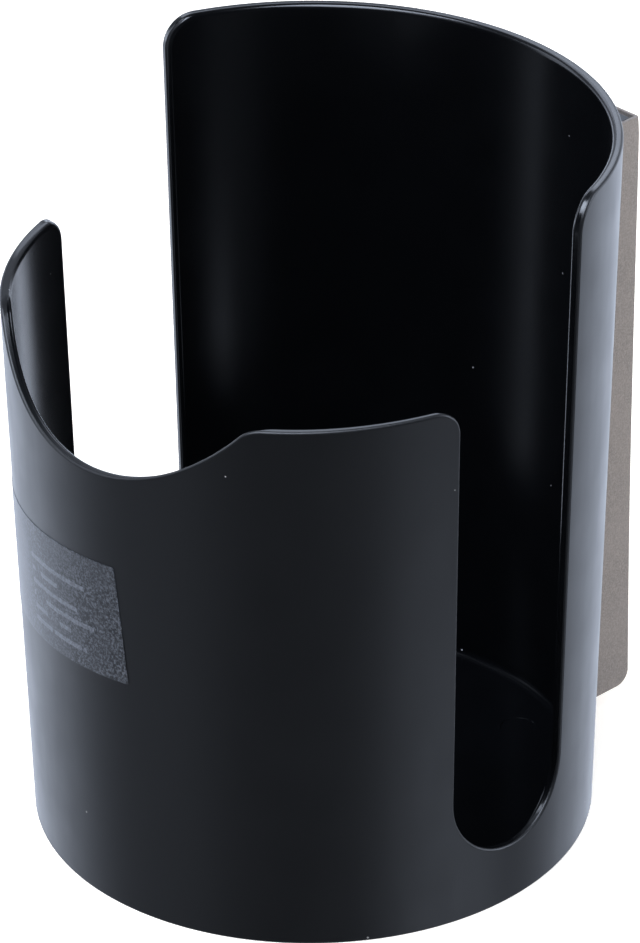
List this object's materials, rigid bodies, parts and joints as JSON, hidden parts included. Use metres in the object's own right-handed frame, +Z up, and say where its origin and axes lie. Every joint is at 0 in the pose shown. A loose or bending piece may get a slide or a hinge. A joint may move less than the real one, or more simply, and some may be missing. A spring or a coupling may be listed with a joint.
{
  "type": "magnetic cup holder",
  "caption": "Tapered cup holder with open sides for a mug handle, a low scooped front and a tall back carrying a flat magnetic mount.",
  "frame": {"origin": "on the cup's axis, in the plane of the face it stands on", "axes": "+Z up along the cup's axis, -Y towards the low scooped front, +Y towards the magnetic back, X across the handle slots"},
  "size_m": [0.0946, 0.1067, 0.1204],
  "materials": {
    "cup_plastic": "black moulded plastic, satin outside and glossier inside",
    "tray_plastic": "dark grey matt moulded plastic",
    "plate_steel": "zinc plated sheet",
    "ferrite": "sintered ferrite, ground faces",
    "screw_steel": "zinc plated",
    "boot_rubber": "taupe grey rubber with a fine sandy grain",
    "label_film": "thin satin film, faintly mottled"
  },
  "bodies": {
    "root": {"cup_body": "cup_plastic", "magnet_housing": "tray_plastic", "yoke_plate": "plate_steel", "magnet_lower": "ferrite", "magnet_middle": "ferrite", "magnet_upper": "ferrite", "housing_screws": "screw_steel", "magnet_boot": "boot_rubber", "label": "label_film"}
  },
  "joints": []
}
